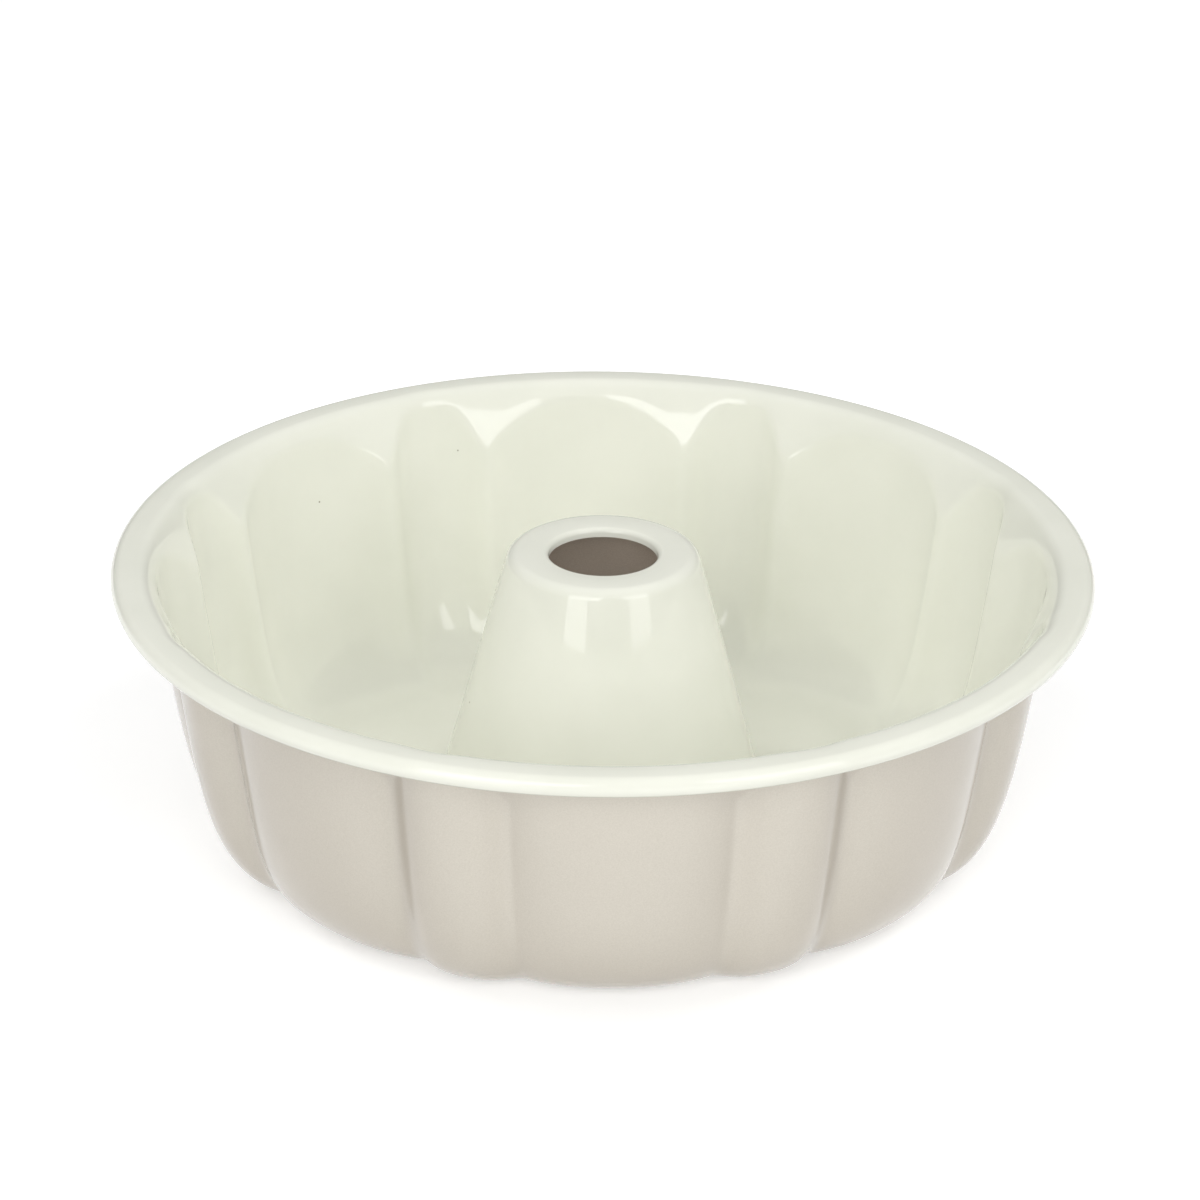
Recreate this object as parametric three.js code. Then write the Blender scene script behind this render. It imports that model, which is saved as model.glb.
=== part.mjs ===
// Fluted tube pan: a pressed steel ring mould with wide and narrow flutes by turns, a rim rolled over a wire,
// a coned centre tube set over a collar in the floor, and a pale ceramic lining on the baking side.
// Millimetres, +Z up. The origin is on the table, under the middle of the tube.
import * as THREE from "three";

// Rim
const rimDiameter = 260; // over the rolled edge
const rimHeight = 78; // table to the top of the rolled edge
const rollDiameter = 5.4; // the rolled edge, over its lining
const rollTurn = 240; // degrees that the sheet's edge is rolled through
const lipWidth = 6.25; // lip between the roll's middle and the shoulder
const lipBend = 4; // round between the lip and the shoulder

// Sheet and lining
const steelThickness = 0.6;
const liningThickness = 0.25;
const seatClearance = 0.3; // between pieces that seat on each other

// Fluted wall, on the steel's baking side
const fluteCount = 8; // wide flutes, with a narrow one after each
const wideFluteAngle = 30.5; // degrees between the creases on both sides of a wide flute
const narrowReach = 1.2; // how far the narrow flutes stand out past the wide ones
const shoulderWidth = 2.1; // from the lip in to the line of a wide flute, at the rim's level
const shoulderLean = 0.82; // how far the shoulder runs in over its first millimetre down
const shoulderPower = 0.875; // under one, so that the shoulder steepens downwards
const floorRadius = 87.8; // where the floor begins to turn up into a flute
const cornerReach = 22; // how far the floor's own line pulls the corner outwards
const wallDraft = 6.6; // how far the wall leans in, from its top to its bend
const bendHeight = 27.3; // height of the bend between the wall and the corner
const creaseDepthAtFoot = 2.8; // how far the crease beside a wide flute stands in from it
const creaseDepthAtTop = 5.6;
const creaseRise = 45; // height at which the crease reaches its full depth
const bowPower = 2.5; // a flute's bow: 2 is round, and more is flatter in the middle
const creaseRound = 1.2; // how far the crease's edge is rounded away
const shoulderRound = 0.2; // how far the edge between the shoulder and a flute is rounded away

// Centre tube, on the baking side
const crownRise = 1; // the tube's crown above the rim
const tubeBaseDiameter = 93; // at the table
const tubeTopDiameter = 50.5; // at the crown
const crownRound = 3.2; // round between the cone and the crown
const ventDiameter = 29; // hole in the crown
const ventRound = 1.1; // round between the crown and the hole
const ventLip = 2.2; // depth of the edge turned down round the hole
const collarHeight = 9; // collar of the floor that the tube is set over

// Facets
const tubeSides = 40;
const wireSides = 6;
const roundSteps = 3;
const bendSteps = 2;
const rollSteps = 6;

const radians = THREE.MathUtils.degToRad;
const rimRadius = rimDiameter / 2;
const rollRadius = rollDiameter / 2;

// Materials

const paintedSteel = new THREE.MeshStandardMaterial({ color: 0xc9bfb3, roughness: 0.38, metalness: 0.25 });
const ceramic = new THREE.MeshStandardMaterial({ color: 0xe9ebdd, roughness: 0.12, metalness: 0.0 });
const bareSteel = new THREE.MeshStandardMaterial({ color: 0x9a9c9e, roughness: 0.35, metalness: 0.9 });

// Sheets

// A ring-shaped solid with the closed outline given: rings of points, clockwise seen along the angle.
// The rings from lowStart on are cut along the other diagonals, to match a grid that is run backwards.
function ringSolid(outline, lowStart = outline.length) {
  const sides = outline[0].length;
  const index = [];
  outline.forEach((_, i) => {
    const next = (i + 1) % outline.length;
    const backwards = i >= lowStart && next > 0;
    for (let j = 0; j < sides; j++) {
      const k = (j + 1) % sides;
      const [a, b, c, d] = [i * sides + j, next * sides + j, next * sides + k, i * sides + k];
      index.push(...(backwards ? [a, b, d, b, c, d] : [a, b, c, a, c, d]));
    }
  });
  const positions = outline.flat().flatMap((point) => point.toArray());
  return new THREE.BufferGeometry()
    .setAttribute("position", new THREE.Float32BufferAttribute(positions, 3))
    .setIndex(index);
}

// A sheet between two offsets of a grid: rings of points, from the middle of the pan outwards.
// The offsets are along the grid's normals, which point to the baking side.
function sheetGeometry(rings, lowOffset, highOffset) {
  const side = (offset) => rings.map((ring, i) => ring.map((_, j) => offsetPoint(rings, i, j, offset)));
  return ringSolid([...side(highOffset), ...side(lowOffset).reverse()], rings.length);
}

// A grid point moved along its mitred normal, so that the sheet keeps its thickness round a bend.
function offsetPoint(rings, i, j, distance) {
  const point = rings[i][j];
  const sides = rings[i].length;
  const around = rings[i][(j + 1) % sides].clone().sub(rings[i][(j + sides - 1) % sides]);
  const normals = [];
  if (i > 0) normals.push(point.clone().sub(rings[i - 1][j]).cross(around).normalize());
  if (i < rings.length - 1) normals.push(rings[i + 1][j].clone().sub(point).cross(around).normalize());
  const mitre = normals.reduce((sum, normal) => sum.add(normal), new THREE.Vector3()).normalize();
  const alongNormal = Math.max(mitre.dot(normals[normals.length - 1]), 0.5);
  return point.clone().addScaledVector(mitre, distance / alongNormal);
}

// The rings of a grid, from sections of [radius, height] points at each of the angles given.
function ringsOf(sections, angles) {
  return sections[0].map((_, i) =>
    sections.map((section, j) => {
      const [radius, height] = section[i];
      return new THREE.Vector3(radius * Math.cos(angles[j]), radius * Math.sin(angles[j]), height);
    }),
  );
}

// The points of a path of [radius, height, round] corners, with each corner rounded by its own radius.
function roundedPath(corners, steps) {
  const points = [];
  corners.forEach(([radius, height, round], i) => {
    const corner = new THREE.Vector2(radius, height);
    if (!round) {
      points.push(corner.toArray());
      return;
    }
    const before = new THREE.Vector2(...corners[i - 1].slice(0, 2)).sub(corner).normalize();
    const after = new THREE.Vector2(...corners[i + 1].slice(0, 2)).sub(corner).normalize();
    const half = Math.acos(THREE.MathUtils.clamp(before.dot(after), -1, 1)) / 2;
    const inwards = before.clone().add(after).normalize();
    const middle = corner.clone().addScaledVector(inwards, round / Math.sin(half));
    const from = corner.clone().addScaledVector(before, round / Math.tan(half)).sub(middle).angle();
    const to = corner.clone().addScaledVector(after, round / Math.tan(half)).sub(middle).angle();
    const turn = THREE.MathUtils.euclideanModulo(to - from + Math.PI, 2 * Math.PI) - Math.PI;
    for (let k = 0; k <= steps; k++) {
      const angle = from + (turn * k) / steps;
      points.push([middle.x + round * Math.cos(angle), middle.y + round * Math.sin(angle)]);
    }
  });
  return points;
}

// Centre tube: the steel's baking side is the lining's thickness inside the sizes given

const tubeHeight = rimHeight + crownRise;
const coneAngle = Math.atan2((tubeBaseDiameter - tubeTopDiameter) / 2, tubeHeight);
const acrossCone = (thickness) => thickness / Math.cos(coneAngle); // a thickness measured level
const tubeSurface = (height) => tubeBaseDiameter / 2 - height * Math.tan(coneAngle); // radius over the lining
const tubeSteel = (height) => tubeSurface(height) - acrossCone(liningThickness);
const floorLevel = steelThickness; // baking side of the floor's steel
const crownLevel = tubeHeight - liningThickness;
const tubeFoot = floorLevel + seatClearance + steelThickness * Math.sin(coneAngle);
const ventRadius = ventDiameter / 2 + liningThickness;

const tubeCorners = [
  [ventRadius, crownLevel - ventLip, 0],
  [ventRadius, crownLevel, ventRound],
  [tubeSteel(crownLevel), crownLevel, crownRound],
  [tubeSteel(tubeFoot), tubeFoot, 0],
];
const tubeSection = roundedPath(tubeCorners, roundSteps);
const tubeAngles = Array.from({ length: tubeSides }, (_, i) => (2 * Math.PI * i) / tubeSides);
const tubeRings = ringsOf(
  tubeAngles.map(() => tubeSection),
  tubeAngles,
);

// Fluted body: each section runs on the steel's baking side, from the collar to the end of the rolled edge

const rimLevel = rimHeight - liningThickness; // baking side of the rim's steel
const rollMiddle = rimRadius - rollRadius;
const steelRoll = rollRadius - liningThickness; // radius of the roll's steel on its baking side
const lipRadius = rollMiddle - lipWidth;
const wallTopRadius = lipRadius - shoulderWidth; // a wide flute's line, run on up to the rim's level
const collarSurface = (height) => tubeSteel(height) - acrossCone(steelThickness + seatClearance);

// The middle of a wide flute, from the floor to the rim's level. It passes under the shoulder on the way.
const fluteCurve = new THREE.CubicBezierCurve(
  new THREE.Vector2(floorRadius, floorLevel),
  new THREE.Vector2(floorRadius + cornerReach, floorLevel),
  new THREE.Vector2(wallTopRadius - wallDraft, bendHeight),
  new THREE.Vector2(wallTopRadius, rimLevel),
);

// How far a crease stands in from its wide flute.
function creaseDepth(height) {
  const rise = THREE.MathUtils.clamp((height - floorLevel) / creaseRise, 0, 1);
  return THREE.MathUtils.lerp(creaseDepthAtFoot, creaseDepthAtTop, Math.sin((rise * Math.PI) / 2));
}

// The sloping shoulder under the lip, which runs on down between the flutes to the top of each crease.
function shoulderRadius(height) {
  const drop = rimLevel - height;
  return lipRadius - shoulderLean * drop ** shoulderPower;
}

// The larger of two radii, rounded where they are alike.
function roundedMax(a, b, round) {
  const overlap = Math.max(round * 4 - Math.abs(a - b), 0) / (round * 4);
  return Math.max(a, b) + overlap * overlap * round;
}

const fluteStep = 360 / fluteCount; // degrees from one wide flute to the next
const wideHalf = wideFluteAngle / 2;
const narrowHalf = fluteStep / 2 - wideHalf;

// Radius of the fluted wall: a bow for each flute, out from the creases on both sides of it.
function flutedRadius(degrees, middleRadius, depth) {
  const fromWide = THREE.MathUtils.euclideanModulo(degrees + fluteStep / 2, fluteStep) - fluteStep / 2;
  const fromNarrow = Math.abs(fromWide) - fluteStep / 2;
  const wide = middleRadius - depth * Math.abs(fromWide / wideHalf) ** bowPower;
  const narrowDepth = depth + narrowReach;
  const narrow = middleRadius + narrowReach - narrowDepth * Math.abs(fromNarrow / narrowHalf) ** bowPower;
  return roundedMax(wide, narrow, Math.min(creaseRound, depth / 4));
}

// Shares of the flute's curve that carry a ring: closer in the corner and where the creases run out.
const wallShares = [0, 0.12, 0.24, 0.36, 0.49, 0.66, 0.8, 0.87, 0.92, 0.95, 0.978];
const wallPoints = wallShares.map((share) => fluteCurve.getPoint(share));

// The floor's edge, wall, shoulder, lip and roll at one angle, as [radius, height] points.
function flutedSection(degrees) {
  const wall = wallPoints.map(({ x, y }) => {
    const flute = flutedRadius(degrees, x, creaseDepth(y));
    return [roundedMax(flute, shoulderRadius(y), shoulderRound), y];
  });
  const [topRadius, topHeight] = wall[wall.length - 1];
  const lipCorners = [
    [topRadius, topHeight, 0],
    [lipRadius, rimLevel, lipBend],
    [rollMiddle, rimLevel, 0],
  ];
  const lip = roundedPath(lipCorners, bendSteps).slice(1);
  const roll = Array.from({ length: rollSteps }, (_, i) => {
    const angle = radians(90 - (rollTurn * (i + 1)) / rollSteps);
    return [rollMiddle + steelRoll * Math.cos(angle), rimLevel - steelRoll + steelRoll * Math.sin(angle)];
  });
  return [...wall, ...lip, ...roll];
}

// Degrees of the grid's columns: on each crease and spread over the flutes between.
const fluteColumns = [
  ...[-1, -0.72, -0.4, 0, 0.4, 0.72].map((share) => share * wideHalf),
  ...[-1, -0.5, 0, 0.5].map((share) => fluteStep / 2 + share * narrowHalf),
];
const bodyDegrees = Array.from({ length: fluteCount }, (_, i) =>
  fluteColumns.map((degrees) => degrees + i * fluteStep),
).flat();
const bodyAngles = bodyDegrees.map(radians);
const flutedSections = bodyDegrees.map(flutedSection);

const collar = [collarHeight, floorLevel].map((height) => [collarSurface(height), height]);
const bodyRings = ringsOf(
  flutedSections.map((section) => [...collar, ...section]),
  bodyAngles,
);

// The lining's floor stops short of the tube's own lining.
const liningStart = tubeSurface(floorLevel) + seatClearance;
const liningRings = ringsOf(
  flutedSections.map((section) => [[liningStart, floorLevel], ...section]),
  bodyAngles,
);

// Rim wire: lies in the roll, with its middle on the roll's
const wireRadius = steelRoll - steelThickness - seatClearance;
const wireSection = Array.from({ length: wireSides }, (_, i) => {
  const angle = (-2 * Math.PI * i) / wireSides;
  return [rollMiddle + wireRadius * Math.cos(angle), wireRadius * Math.sin(angle)];
});
const wireRings = ringsOf(
  bodyAngles.map(() => wireSection),
  bodyAngles,
);

// Assembly

const pan = new THREE.Group();
pan.name = "fluted_tube_pan";

function addPiece(name, geometry, material) {
  const mesh = new THREE.Mesh(geometry, material);
  mesh.name = name;
  geometry.computeVertexNormals();
  pan.add(mesh);
  return mesh;
}

addPiece("fluted_body", sheetGeometry(bodyRings, -steelThickness, 0), paintedSteel);
addPiece("body_lining", sheetGeometry(liningRings, 0, liningThickness), ceramic);
addPiece("centre_tube", sheetGeometry(tubeRings, -steelThickness, 0), paintedSteel);
addPiece("tube_lining", sheetGeometry(tubeRings, 0, liningThickness), ceramic);
addPiece("rim_wire", ringSolid(wireRings), bareSteel).position.z = rimLevel - steelRoll;

export default pan;
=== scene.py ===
import math

import bpy
import numpy as np
from mathutils import Matrix, Vector


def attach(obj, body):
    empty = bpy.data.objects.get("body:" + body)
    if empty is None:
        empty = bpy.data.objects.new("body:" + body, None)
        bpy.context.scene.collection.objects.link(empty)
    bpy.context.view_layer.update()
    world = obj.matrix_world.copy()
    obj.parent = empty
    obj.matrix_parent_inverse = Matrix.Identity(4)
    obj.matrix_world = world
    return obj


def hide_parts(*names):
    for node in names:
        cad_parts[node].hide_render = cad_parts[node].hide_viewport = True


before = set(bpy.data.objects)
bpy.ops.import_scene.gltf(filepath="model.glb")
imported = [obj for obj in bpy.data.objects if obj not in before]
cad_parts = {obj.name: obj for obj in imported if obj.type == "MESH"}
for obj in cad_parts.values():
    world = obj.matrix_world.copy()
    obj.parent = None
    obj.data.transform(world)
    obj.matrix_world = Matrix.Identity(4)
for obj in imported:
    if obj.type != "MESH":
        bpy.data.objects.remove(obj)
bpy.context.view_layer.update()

# Sizes in millimetres, as on the solids, whose rolled edge reaches 129.97 over its facets
RIM_RADIUS = 129.97
RIM_HEIGHT = 78.0
ROLL_RADIUS = 2.7
ROLL_TURN = 240.0
LIP_WIDTH = 6.25
LIP_BEND = 4.0
STEEL = 0.6
LINING = 0.25
CLEARANCE = 0.3
FLUTES = 8
WIDE_HALF = 15.25
NARROW_REACH = 1.2
SHOULDER_WIDTH = 2.1
SHOULDER_LEAN = 0.82
SHOULDER_POWER = 0.875
FLOOR_RADIUS = 87.8
CORNER_REACH = 22.0
WALL_DRAFT = 6.6
BEND_HEIGHT = 27.3
CREASE_FOOT = 2.8
CREASE_TOP = 5.6
CREASE_RISE = 45.0
BOW_POWER = 2.5
CREASE_ROUND = 1.2
SHOULDER_ROUND = 0.2
CROWN_RISE = 1.0
TUBE_BASE = 46.5
TUBE_TOP = 25.25
CROWN_ROUND = 3.2
VENT_RADIUS = 14.5
VENT_ROUND = 1.1
VENT_LIP = 2.2
COLLAR_HEIGHT = 9.0

# Facets
TOP_SHARE = 0.978  # how far up its curve the wall is followed before the lip takes over
ARCH_SHARE = 0.82  # from here up the rings are closer, for the arches
WALL_RINGS = 24
ARCH_RINGS = 34
ROLL_STEPS = 16
ROUND_STEPS = 6
WIDE_COLUMNS = 44
NARROW_COLUMNS = 28
TUBE_COLUMNS = 480
WIRE_SIDES = 16
MITRE_LIMIT = 0.5  # a mitre is stretched to no more than twice the offset

FLOOR_LEVEL = STEEL
RIM_LEVEL = RIM_HEIGHT - LINING
ROLL_MIDDLE = RIM_RADIUS - ROLL_RADIUS
STEEL_ROLL = ROLL_RADIUS - LINING
LIP_RADIUS = ROLL_MIDDLE - LIP_WIDTH
WALL_TOP_RADIUS = LIP_RADIUS - SHOULDER_WIDTH
TUBE_HEIGHT = RIM_HEIGHT + CROWN_RISE
CONE_ANGLE = math.atan2(TUBE_BASE - TUBE_TOP, TUBE_HEIGHT)
FLUTE_STEP = 360 / FLUTES
NARROW_HALF = FLUTE_STEP / 2 - WIDE_HALF


def tube_steel(height):
    """Radius of the tube's steel on its baking side."""
    return TUBE_BASE - height * math.tan(CONE_ANGLE) - LINING / math.cos(CONE_ANGLE)


# Grids of points: rings from the middle of the pan outwards, on the steel's baking side

def ring_grid(radius, height, degrees):
    """Points of rings by columns, from a radius and a height for each point or each ring."""
    angle = np.radians(degrees)[None, :]
    return np.stack([radius * np.cos(angle), radius * np.sin(angle), height + 0 * angle], axis=-1)


def bezier(share, *points):
    """Points on the Bezier curve of the control points given."""
    t = np.asarray(share)[:, None]
    p = [np.asarray(q, float)[None, :] for q in points]
    while len(p) > 1:
        p = [(1 - t) * a + t * b for a, b in zip(p, p[1:])]
    return p[0]


def rounded_max(a, b, round_by):
    """The larger of two radii, rounded where they are alike, by as much as given where they are equal."""
    width = round_by * 4
    overlap = np.maximum(width - np.abs(a - b), 0) / width
    return np.maximum(a, b) + overlap * overlap * round_by


def fluted_grid(degrees):
    """Floor edge, fluted wall, shoulder, lip and roll."""
    lower_shares = np.linspace(0, ARCH_SHARE, WALL_RINGS, endpoint=False)
    wall = bezier(
        np.concatenate([lower_shares, np.linspace(ARCH_SHARE, TOP_SHARE, ARCH_RINGS)]),
        (FLOOR_RADIUS, FLOOR_LEVEL),
        (FLOOR_RADIUS + CORNER_REACH, FLOOR_LEVEL),
        (WALL_TOP_RADIUS - WALL_DRAFT, BEND_HEIGHT),
        (WALL_TOP_RADIUS, RIM_LEVEL),
    )
    middle, height = wall[:, :1], wall[:, 1:]
    rise = np.clip((height - FLOOR_LEVEL) / CREASE_RISE, 0, 1)
    depth = CREASE_FOOT + (CREASE_TOP - CREASE_FOOT) * np.sin(rise * math.pi / 2)
    from_wide = (np.asarray(degrees)[None, :] + FLUTE_STEP / 2) % FLUTE_STEP - FLUTE_STEP / 2
    from_narrow = np.abs(from_wide) - FLUTE_STEP / 2
    wide = middle - depth * np.abs(from_wide / WIDE_HALF) ** BOW_POWER
    bow = np.abs(from_narrow / NARROW_HALF) ** BOW_POWER
    narrow = middle + NARROW_REACH - (depth + NARROW_REACH) * bow
    flute = rounded_max(wide, narrow, np.minimum(CREASE_ROUND, depth / 4))
    drop = RIM_LEVEL - height
    shoulder = LIP_RADIUS - SHOULDER_LEAN * drop**SHOULDER_POWER
    radius = rounded_max(flute, shoulder, SHOULDER_ROUND)
    grids = [ring_grid(radius, height, degrees)]

    lip_corners = [(LIP_RADIUS, RIM_LEVEL, LIP_BEND), (ROLL_MIDDLE, RIM_LEVEL, 0)]
    lip = np.array([rounded_path([(top, height[-1, 0], 0)] + lip_corners)[1:] for top in radius[-1]])
    grids.append(ring_grid(lip[..., 0].T, lip[..., 1].T, degrees))

    turn = np.radians(90 - np.linspace(0, ROLL_TURN, ROLL_STEPS + 1)[1:, None])
    roll = ROLL_MIDDLE + STEEL_ROLL * np.cos(turn)
    roll_height = RIM_LEVEL - STEEL_ROLL + STEEL_ROLL * np.sin(turn)
    grids.append(ring_grid(roll, roll_height, degrees))
    return np.concatenate(grids)


def turned_grid(section, degrees):
    """Rings of one section turned round the axis."""
    section = np.asarray(section, float)
    return ring_grid(section[:, :1], section[:, 1:], degrees)


def rounded_path(corners):
    """Points of a path of (radius, height, round) corners, each rounded by its own radius."""
    points = []
    for i, (radius, height, round_by) in enumerate(corners):
        corner = Vector((radius, height))
        if not round_by:
            points.append(tuple(corner))
            continue
        before = (Vector(corners[i - 1][:2]) - corner).normalized()
        after = (Vector(corners[i + 1][:2]) - corner).normalized()
        half = before.angle(after) / 2
        middle = corner + (before + after).normalized() * (round_by / math.sin(half))
        first = corner + before * (round_by / math.tan(half)) - middle
        last = corner + after * (round_by / math.tan(half)) - middle
        start = math.atan2(first.y, first.x)
        turn = (math.atan2(last.y, last.x) - start + math.pi) % (2 * math.pi) - math.pi
        for k in range(ROUND_STEPS + 1):
            angle = start + turn * k / ROUND_STEPS
            points.append((middle.x + round_by * math.cos(angle), middle.y + round_by * math.sin(angle)))
    return points


def offset_grid(grid, distance):
    """The grid moved along its mitred normals, which point to the baking side."""
    around = np.roll(grid, -1, axis=1) - np.roll(grid, 1, axis=1)
    along = np.diff(grid, axis=0)
    ahead = np.cross(along, around[:-1])
    behind = np.cross(along, around[1:])
    ahead /= np.linalg.norm(ahead, axis=-1, keepdims=True)
    behind /= np.linalg.norm(behind, axis=-1, keepdims=True)
    first = np.concatenate([ahead, behind[-1:]])
    second = np.concatenate([ahead[:1], behind])
    mitre = first + second
    mitre /= np.linalg.norm(mitre, axis=-1, keepdims=True)
    share = np.maximum((mitre * first).sum(axis=-1, keepdims=True), MITRE_LIMIT)
    return grid + mitre * distance / share


# Meshes

def ring_mesh(name, outline, sharp_rings=()):
    """A closed ring-shaped mesh from the rings of its outline, shaded smooth but for the rings named."""
    rings, sides = outline.shape[:2]
    i = np.arange(rings)[:, None]
    j = np.arange(sides)[None, :]
    a = i * sides + j
    b = (i + 1) % rings * sides + j
    c = (i + 1) % rings * sides + (j + 1) % sides
    d = i * sides + (j + 1) % sides
    faces = np.stack([a, b, c, d], axis=-1).reshape(-1, 4)
    mesh = bpy.data.meshes.new(name)
    mesh.from_pydata((outline.reshape(-1, 3) / 1000).tolist(), [], faces.tolist())
    mesh.shade_smooth()
    sharp = set(sharp_rings)
    for edge in mesh.edges:
        p, q = edge.vertices
        if p // sides == q // sides and p // sides in sharp:
            edge.use_edge_sharp = True
    mesh.update()
    piece = bpy.data.objects.new(name, mesh)
    bpy.context.collection.objects.link(piece)
    return piece


def sheet_mesh(name, grid, low, high, sharp=()):
    """A closed sheet between two offsets of a grid."""
    rings = len(grid)
    outline = np.concatenate([offset_grid(grid, high), offset_grid(grid, low)[::-1]])
    ends = [0, rings - 1, rings, 2 * rings - 1]
    bends = [r for s in sharp for r in (s, 2 * rings - 1 - s)]
    return ring_mesh(name, outline, ends + bends)


# Columns on and close to every crease, and wider apart between them
wide_share = np.sin(np.linspace(-0.5, 0.5, WIDE_COLUMNS + 1)[:-1] * math.pi)
narrow_share = np.sin(np.linspace(-0.5, 0.5, NARROW_COLUMNS + 1)[:-1] * math.pi)
narrow_columns = FLUTE_STEP / 2 + narrow_share * NARROW_HALF
flute_columns = np.concatenate([wide_share * WIDE_HALF, narrow_columns])
columns = np.concatenate([flute_columns + i * FLUTE_STEP for i in range(FLUTES)])
tube_columns = np.linspace(0, 360, TUBE_COLUMNS, endpoint=False)

fluted = fluted_grid(columns)
collar_gap = (STEEL + CLEARANCE) / math.cos(CONE_ANGLE)
collar = turned_grid([(tube_steel(h) - collar_gap, h) for h in (COLLAR_HEIGHT, FLOOR_LEVEL)], columns)
body = sheet_mesh("pan_body", np.concatenate([collar, fluted]), -STEEL, 0, sharp=(1,))

lining_start = TUBE_BASE - FLOOR_LEVEL * math.tan(CONE_ANGLE) + CLEARANCE
lining_floor = turned_grid([(lining_start, FLOOR_LEVEL)], columns)
lining = sheet_mesh("pan_lining", np.concatenate([lining_floor, fluted]), 0, LINING)

crown = TUBE_HEIGHT - LINING
tube_foot = FLOOR_LEVEL + CLEARANCE + STEEL * math.sin(CONE_ANGLE)
tube_section = rounded_path([
    (VENT_RADIUS + LINING, crown - VENT_LIP, 0),
    (VENT_RADIUS + LINING, crown, VENT_ROUND),
    (tube_steel(crown), crown, CROWN_ROUND),
    (tube_steel(tube_foot), tube_foot, 0),
])
tube_grid = turned_grid(tube_section, tube_columns)
tube = sheet_mesh("pan_tube", tube_grid, -STEEL, 0)
tube_lining = sheet_mesh("pan_tube_lining", tube_grid, 0, LINING)

wire_radius = STEEL_ROLL - STEEL - CLEARANCE
wire_turn = -np.linspace(0, 2 * math.pi, WIRE_SIDES, endpoint=False)
wire_across = ROLL_MIDDLE + wire_radius * np.cos(wire_turn)
wire_height = RIM_LEVEL - STEEL_ROLL + wire_radius * np.sin(wire_turn)
wire_section = np.stack([wire_across, wire_height], axis=-1)
wire = ring_mesh("pan_wire", turned_grid(wire_section, columns))


# Materials

def material(name):
    """A new material, with its nodes, links and shader."""
    made = bpy.data.materials.new(name)
    made.use_nodes = True
    nodes = made.node_tree.nodes
    return made, nodes, made.node_tree.links, nodes["Principled BSDF"]


def noise(nodes, links, coordinates, scale, detail, roughness=0.5):
    """Noise on the piece's own coordinates, in metres."""
    made = nodes.new("ShaderNodeTexNoise")
    made.inputs["Scale"].default_value = scale
    made.inputs["Detail"].default_value = detail
    made.inputs["Roughness"].default_value = roughness
    links.new(coordinates.outputs["Object"], made.inputs["Vector"])
    return made


def ramp(nodes, links, value, stops):
    """Colours by the value of a socket, as (position, (r, g, b))."""
    made = nodes.new("ShaderNodeValToRGB")
    elements = made.color_ramp.elements
    while len(elements) < len(stops):
        elements.new(0.5)
    for element, (position, colour) in zip(elements, stops):
        element.position = position
        element.color = (*colour, 1)
    links.new(value, made.inputs["Fac"])
    return made


# Most of a noise lies between these values
NOISE_LOW = 0.3
NOISE_HIGH = 0.7


def spread(nodes, links, source, low, high):
    """A texture's value, spread between two limits."""
    made = nodes.new("ShaderNodeMapRange")
    made.inputs["From Min"].default_value = NOISE_LOW
    made.inputs["From Max"].default_value = NOISE_HIGH
    made.inputs["To Min"].default_value = low
    made.inputs["To Max"].default_value = high
    links.new(source.outputs["Fac"], made.inputs["Value"])
    return made


def multiply(nodes, links, first, second):
    """Two colours multiplied."""
    made = nodes.new("ShaderNodeMix")
    made.data_type = "RGBA"
    made.blend_type = "MULTIPLY"
    made.inputs["Factor"].default_value = 1.0
    links.new(first.outputs["Color"], made.inputs["A"])
    links.new(second.outputs["Color"], made.inputs["B"])
    return made


GLAZE = [(0.3, (0.812, 0.820, 0.727)), (0.7, (0.847, 0.853, 0.762))]

# Tiny specks, dark in the middle and gone within half a millimetre
SPECK_SCALE = 50
SPECKS = [(0.011, (0.40, 0.38, 0.31)), (0.019, (1.0, 1.0, 1.0))]


def ceramic():
    """Glossy cream ceramic, a little cloudy, with sparse specks."""
    made, nodes, links, shader = material("cream ceramic")
    place = nodes.new("ShaderNodeTexCoord")
    cloud = noise(nodes, links, place, 38, 4)
    colour = ramp(nodes, links, cloud.outputs["Fac"], GLAZE)
    dots = nodes.new("ShaderNodeTexVoronoi")
    dots.inputs["Scale"].default_value = SPECK_SCALE
    links.new(place.outputs["Object"], dots.inputs["Vector"])
    specks = ramp(nodes, links, dots.outputs["Distance"], SPECKS)
    glaze = multiply(nodes, links, colour, specks)
    links.new(glaze.outputs["Result"], shader.inputs["Base Color"])
    haze = noise(nodes, links, place, 120, 3)
    rough = spread(nodes, links, haze, 0.04, 0.07)
    links.new(rough.outputs["Result"], shader.inputs["Roughness"])
    shader.inputs["IOR"].default_value = 1.5
    return made


# Painted shade: the paint's colour is darkened where the surface turns away from the view
TURNED_AWAY_SHADE = [(0.25, (1.0, 1.0, 1.0)), (0.60, (0.89, 0.87, 0.85)), (0.90, (0.79, 0.76, 0.73))]


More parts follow.
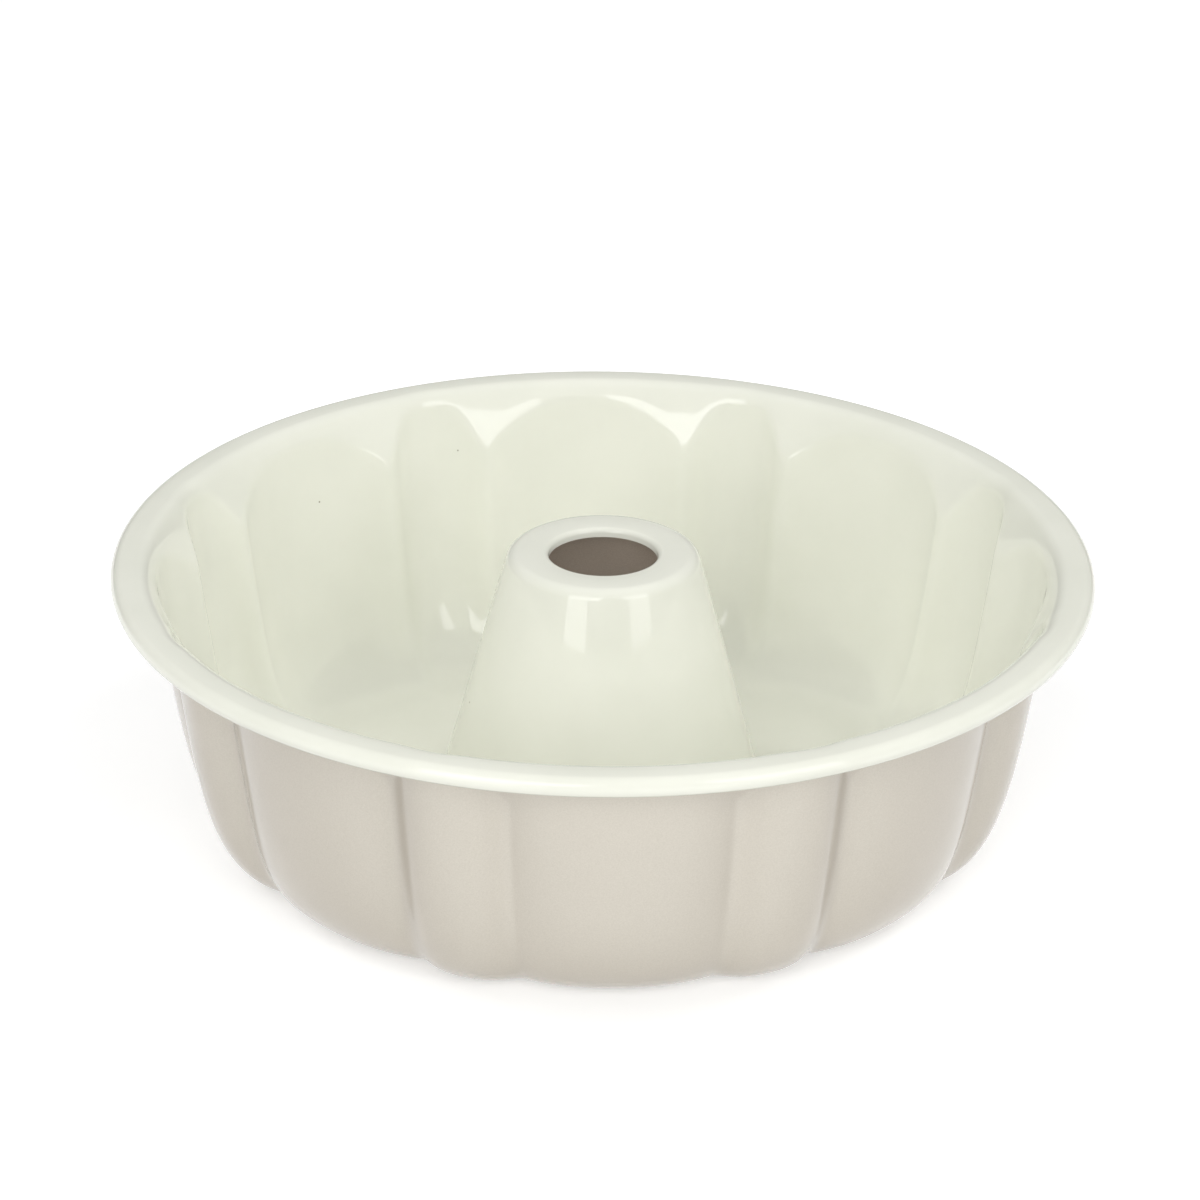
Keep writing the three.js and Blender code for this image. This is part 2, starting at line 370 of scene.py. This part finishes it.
def paint(name, dark, light, coat):
    """Pearl paint with fine grain and painted shade where the surface turns away, under a clear coat of
    the weight given.
    """
    made, nodes, links, shader = material(name)
    place = nodes.new("ShaderNodeTexCoord")
    grain = noise(nodes, links, place, 2600, 2, 0.7)
    colour = ramp(nodes, links, grain.outputs["Fac"], [(0.32, dark), (0.68, light)])
    # Painted shade: the colour darkens as the surface turns away from the view
    turned = nodes.new("ShaderNodeLayerWeight")
    turned.inputs["Blend"].default_value = 0.5
    painted_shade = ramp(nodes, links, turned.outputs["Facing"], TURNED_AWAY_SHADE)
    shaded_colour = multiply(nodes, links, colour, painted_shade)
    links.new(shaded_colour.outputs["Result"], shader.inputs["Base Color"])
    haze = noise(nodes, links, place, 90, 3)
    rough = spread(nodes, links, haze, 0.34, 0.42)
    links.new(rough.outputs["Result"], shader.inputs["Roughness"])
    shader.inputs["Metallic"].default_value = 0.3
    shader.inputs["Coat Weight"].default_value = coat
    shader.inputs["Coat Roughness"].default_value = 0.04
    return made


BARE_STEEL = [(0.35, (0.30, 0.30, 0.31)), (0.65, (0.42, 0.42, 0.43))]


def wire_steel():
    """Drawn bare steel."""
    made, nodes, links, shader = material("wire steel")
    place = nodes.new("ShaderNodeTexCoord")
    drawn = noise(nodes, links, place, 900, 3)
    colour = ramp(nodes, links, drawn.outputs["Fac"], BARE_STEEL)
    links.new(colour.outputs["Color"], shader.inputs["Base Color"])
    rough = spread(nodes, links, drawn, 0.28, 0.42)
    links.new(rough.outputs["Result"], shader.inputs["Roughness"])
    shader.inputs["Metallic"].default_value = 1.0
    return made


cream = ceramic()
taupe = paint("taupe paint", (0.556, 0.518, 0.446), (0.608, 0.570, 0.496), 1.0)
# Painted light and shade: a warmer copy of the taupe paint, coloured for the dim light inside the tube
taupe_for_tube_dim_light = paint("taupe paint recoloured for the dim light in the tube", (0.570, 0.485, 0.395), (0.640, 0.555, 0.460), 0.0)
steel = wire_steel()

for piece, node, slot, finish in [
    (body, "fluted_body", "painted_steel", taupe),
    (lining, "body_lining", "ceramic_lining", cream),
    (tube, "centre_tube", "painted_steel", taupe_for_tube_dim_light),
    (tube_lining, "tube_lining", "ceramic_lining", cream),
    (wire, "rim_wire", "wire_steel", steel),
]:
    piece.data.materials.append(finish)
    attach(piece, "root")
    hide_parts(node)


# Floor: white to the eye and in reflections, with the pan's shadow kept

FLOOR_REACH = 6.0
FLOOR_GREY = 0.80
FLOOR_LIFT = 0.42

floor_mesh = bpy.data.meshes.new("floor")
floor_corners = [(x * FLOOR_REACH, y * FLOOR_REACH, 0) for x, y in ((-1, -1), (1, -1), (1, 1), (-1, 1))]
floor_mesh.from_pydata(floor_corners, [], [(0, 1, 2, 3)])
floor = bpy.data.objects.new("floor", floor_mesh)
bpy.context.collection.objects.link(floor)
floor_paint, floor_nodes, floor_links, floor_shader = material("white floor")
floor_shader.inputs["Base Color"].default_value = (FLOOR_GREY, FLOOR_GREY, FLOOR_GREY, 1)
floor_shader.inputs["Roughness"].default_value = 0.9
floor_shader.inputs["Specular IOR Level"].default_value = 0.0
floor_shader.inputs["Emission Color"].default_value = (1, 1, 1, 1)
path = floor_nodes.new("ShaderNodeLightPath")
seen = floor_nodes.new("ShaderNodeMath")
seen.operation = "MAXIMUM"
floor_links.new(path.outputs["Is Camera Ray"], seen.inputs[0])
floor_links.new(path.outputs["Is Glossy Ray"], seen.inputs[1])
lift = floor_nodes.new("ShaderNodeMath")
lift.operation = "MULTIPLY"
lift.inputs[1].default_value = FLOOR_LIFT
floor_links.new(seen.outputs["Value"], lift.inputs[0])
floor_links.new(lift.outputs["Value"], floor_shader.inputs["Emission Strength"])
floor_mesh.materials.append(floor_paint)


# Light: the windows and the low panels show in the gloss, and the others only fill

LAMP_DISTANCE = 1.5
LAMP_TARGET = Vector((0, 0, 0.05))
WORLD_STRENGTH = 0.08

world = bpy.data.worlds.new("studio")
bpy.context.scene.world = world
world.use_nodes = True
world.node_tree.nodes["Background"].inputs["Color"].default_value = (1, 1, 1, 1)
world.node_tree.nodes["Background"].inputs["Strength"].default_value = WORLD_STRENGTH


def softbox(name, azimuth, elevation, width, height, power, mirrored=False):
    """A panel that faces the pan. Azimuth 0 is on the viewer's side, turning to the right."""
    light = bpy.data.lights.new(name, "AREA")
    light.shape = "RECTANGLE"
    light.size = width
    light.size_y = height
    light.energy = power
    lamp = bpy.data.objects.new(name, light)
    bpy.context.collection.objects.link(lamp)
    az, el = math.radians(azimuth), math.radians(elevation)
    away = Vector((math.sin(az) * math.cos(el), -math.cos(az) * math.cos(el), math.sin(el)))
    lamp.location = LAMP_TARGET + away * LAMP_DISTANCE
    lamp.rotation_euler = away.to_track_quat("Z", "Y").to_euler()
    lamp.visible_glossy = mirrored
    return lamp


softbox("window left", -24, 25.5, 0.9, 0.68, 6.7, mirrored=True)
softbox("window right", 36, 25.5, 0.75, 0.68, 4.6, mirrored=True)
softbox("low left", -31, 4, 0.6, 0.5, 2.2, mirrored=True)
softbox("low right", 38, 4, 0.6, 0.5, 1.7, mirrored=True)
softbox("front", 0, 38, 0.9, 0.7, 3.7)
softbox("left", -105, 34, 0.7, 0.7, 4.1)
softbox("right", 105, 34, 0.7, 0.7, 5.9)
softbox("back left", -150, 45, 0.7, 0.7, 2.0)
softbox("back right", 150, 45, 0.7, 0.7, 2.2)
softbox("high left", -75, 60, 0.8, 0.8, 4.1)
softbox("high right", 75, 60, 0.8, 0.8, 3.2)


# Camera, from the photograph's perspective: the pan is turned a little to the right of it

ELEVATION = math.radians(25.209)
ROLL = math.radians(0.638)
PAN_TURN = math.radians(2.88)
DISTANCE = 1.2
SENSOR = 36
LENS = 135.24
AIM = Vector((-0.000732, 0, 0.06471))
forward = Vector((0, math.cos(ELEVATION), -math.sin(ELEVATION)))
level_up = Vector((0, math.sin(ELEVATION), math.cos(ELEVATION)))
level_right = Vector((1, 0, 0))
right = level_right * math.cos(ROLL) + level_up * math.sin(ROLL)
up = level_up * math.cos(ROLL) - level_right * math.sin(ROLL)
eye = AIM - forward * DISTANCE
pose = Matrix.Identity(4)
for row in range(3):
    pose[row][0], pose[row][1], pose[row][2], pose[row][3] = right[row], up[row], -forward[row], eye[row]
camera_data = bpy.data.cameras.new("camera")
camera_data.sensor_width = SENSOR
camera_data.lens = LENS
camera_data.clip_end = 30
camera = bpy.data.objects.new("camera", camera_data)
bpy.context.collection.objects.link(camera)
camera.matrix_world = Matrix.Rotation(-PAN_TURN, 4, "Z") @ pose
bpy.context.scene.camera = camera
bpy.context.scene.view_settings.view_transform = "Standard"
